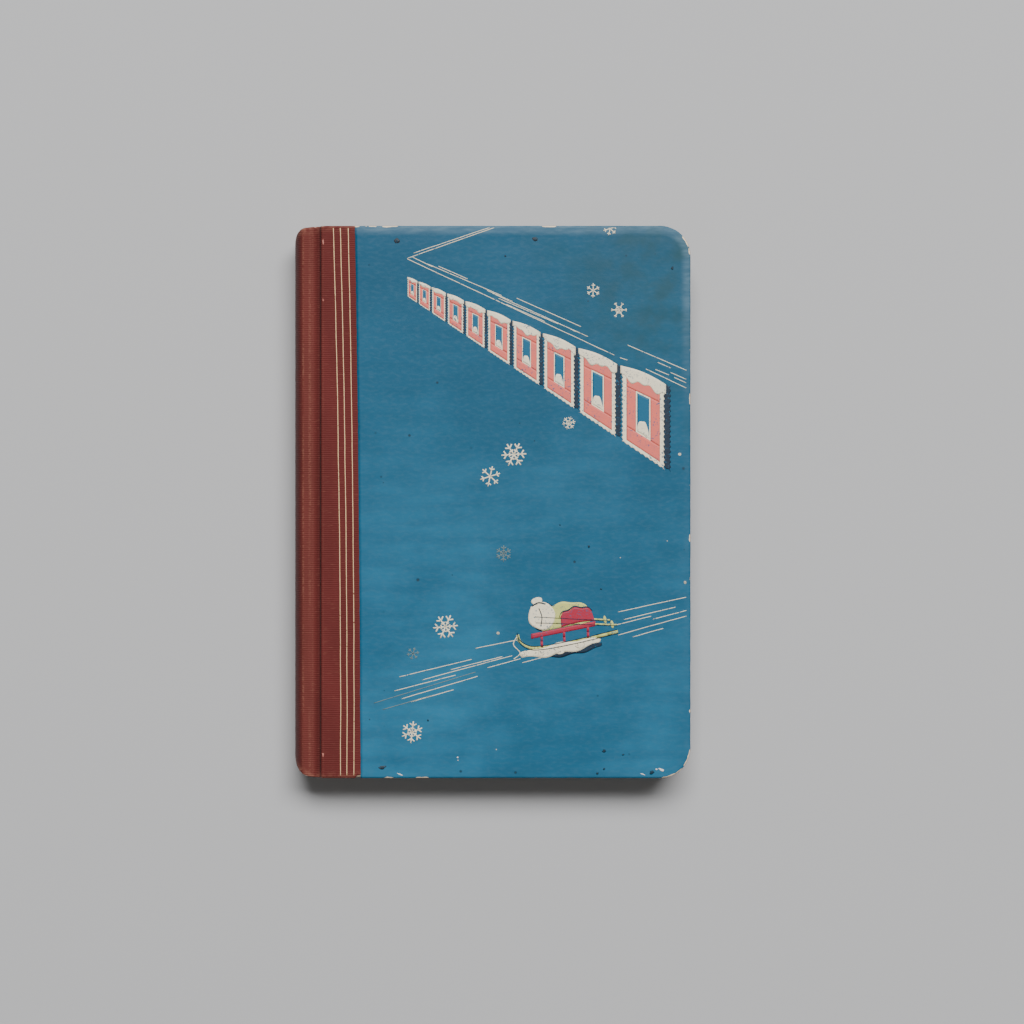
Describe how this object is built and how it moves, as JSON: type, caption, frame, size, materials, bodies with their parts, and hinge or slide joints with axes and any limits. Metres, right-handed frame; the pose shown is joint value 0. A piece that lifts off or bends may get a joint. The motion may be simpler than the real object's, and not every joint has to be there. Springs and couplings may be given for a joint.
{
  "type": "stamp album",
  "caption": "Quarter-bound stamp album with a cloth spine, illustrated paper covers and card leaves with glassine stamp pockets; the covers and leaves open like a book.",
  "frame": {"origin": "centre of the closed album's footprint, on the surface that the back cover lies on", "axes": "+X from the spine to the fore-edge, +Y from tail to head, +Z out of the front cover"},
  "size_m": [0.13, 0.182, 0.0156],
  "materials": {
    "greyboard": "matt bookbinder's board",
    "cover_paper": "worn blue printed paper, slightly glossy",
    "spine_cloth": "maroon ribbed book cloth",
    "endpaper": "matt aged endpaper",
    "leaf_card": "smooth aged ivory card",
    "linen": "fine white linen tape",
    "glassine": "translucent glassine, slight gloss",
    "lining_paper": "brown kraft paper",
    "mull": "open-weave gauze stiffened with glue"
  },
  "bodies": {
    "back_cover": {"back_board": "greyboard", "back_cover_paper": "cover_paper", "back_cloth_side": "spine_cloth", "back_pastedown": "endpaper", "back_flyleaf": "endpaper"},
    "spine": {"spine_cloth": "spine_cloth", "spine_strip": "greyboard", "spine_lining": "lining_paper", "binding_stubs": "leaf_card", "mull_lining": "mull"},
    "front_cover": {"front_board": "greyboard", "front_cover_paper": "cover_paper", "front_cloth_side": "spine_cloth", "front_pastedown": "endpaper"},
    "leaf_1": {"leaf_1_card": "leaf_card", "leaf_1_guard": "linen", "leaf_1_upper_pockets": "glassine", "leaf_1_under_pockets": "glassine", "leaf_1_interleaf": "glassine", "front_flyleaf": "endpaper"},
    "leaf_2": {"leaf_2_card": "leaf_card", "leaf_2_guard": "linen", "leaf_2_upper_pockets": "glassine", "leaf_2_under_pockets": "glassine", "leaf_2_interleaf": "glassine"},
    "leaf_3": {"leaf_3_card": "leaf_card", "leaf_3_guard": "linen", "leaf_3_upper_pockets": "glassine", "leaf_3_under_pockets": "glassine", "leaf_3_interleaf": "glassine"},
    "leaf_4": {"leaf_4_card": "leaf_card", "leaf_4_guard": "linen", "leaf_4_upper_pockets": "glassine", "leaf_4_under_pockets": "glassine", "leaf_4_interleaf": "glassine"},
    "leaf_5": {"leaf_5_card": "leaf_card", "leaf_5_guard": "linen", "leaf_5_upper_pockets": "glassine", "leaf_5_under_pockets": "glassine", "leaf_5_interleaf": "glassine"},
    "leaf_6": {"leaf_6_card": "leaf_card", "leaf_6_guard": "linen", "leaf_6_upper_pockets": "glassine", "leaf_6_under_pockets": "glassine", "leaf_6_interleaf": "glassine"},
    "leaf_7": {"leaf_7_card": "leaf_card", "leaf_7_guard": "linen", "leaf_7_upper_pockets": "glassine", "leaf_7_under_pockets": "glassine", "leaf_7_interleaf": "glassine"},
    "leaf_8": {"leaf_8_card": "leaf_card", "leaf_8_guard": "linen", "leaf_8_upper_pockets": "glassine", "leaf_8_under_pockets": "glassine", "leaf_8_interleaf": "glassine"}
  },
  "joints": [
    {"name": "spine_turn", "type": "hinge", "parent": "back_cover", "child": "spine", "pos_m": [-0.0574, 0, 0.0022], "axis": [0, -1, 0], "range_deg": [0, 90]},
    {"name": "cover_open", "type": "hinge", "parent": "spine", "child": "front_cover", "pos_m": [-0.0574, 0, 0.0134], "axis": [0, -1, 0], "range_deg": [0, 90]},
    {"name": "leaf_8_turn", "type": "hinge", "parent": "back_cover", "child": "leaf_8", "pos_m": [-0.0575, 0, 0.00295], "axis": [0, -1, 0], "range_deg": [0, 20]},
    {"name": "leaf_7_turn", "type": "hinge", "parent": "leaf_8", "child": "leaf_7", "pos_m": [-0.0575, 0, 0.00415], "axis": [0, -1, 0], "range_deg": [0, 20]},
    {"name": "leaf_6_turn", "type": "hinge", "parent": "leaf_7", "child": "leaf_6", "pos_m": [-0.0575, 0, 0.00535], "axis": [0, -1, 0], "range_deg": [0, 20]},
    {"name": "leaf_5_turn", "type": "hinge", "parent": "leaf_6", "child": "leaf_5", "pos_m": [-0.0575, 0, 0.00655], "axis": [0, -1, 0], "range_deg": [0, 20]},
    {"name": "leaf_4_turn", "type": "hinge", "parent": "leaf_5", "child": "leaf_4", "pos_m": [-0.0575, 0, 0.00775], "axis": [0, -1, 0], "range_deg": [0, 20]},
    {"name": "leaf_3_turn", "type": "hinge", "parent": "leaf_4", "child": "leaf_3", "pos_m": [-0.0575, 0, 0.00895], "axis": [0, -1, 0], "range_deg": [0, 20]},
    {"name": "leaf_2_turn", "type": "hinge", "parent": "leaf_3", "child": "leaf_2", "pos_m": [-0.0575, 0, 0.01015], "axis": [0, -1, 0], "range_deg": [0, 20]},
    {"name": "leaf_1_turn", "type": "hinge", "parent": "leaf_2", "child": "leaf_1", "pos_m": [-0.0575, 0, 0.01135], "axis": [0, -1, 0], "range_deg": [0, 20]}
  ],
  "couplings": [
    {"joint": "spine_turn", "follows": "cover_open", "ratio": 1},
    {"joint": "leaf_8_turn", "follows": "cover_open", "ratio": 0.22222},
    {"joint": "leaf_7_turn", "follows": "cover_open", "ratio": 0.22222},
    {"joint": "leaf_6_turn", "follows": "cover_open", "ratio": 0.22222},
    {"joint": "leaf_5_turn", "follows": "cover_open", "ratio": 0.22222},
    {"joint": "leaf_4_turn", "follows": "cover_open", "ratio": 0.22222},
    {"joint": "leaf_3_turn", "follows": "cover_open", "ratio": 0.22222},
    {"joint": "leaf_2_turn", "follows": "cover_open", "ratio": 0.22222},
    {"joint": "leaf_1_turn", "follows": "cover_open", "ratio": 0.22222}
  ]
}
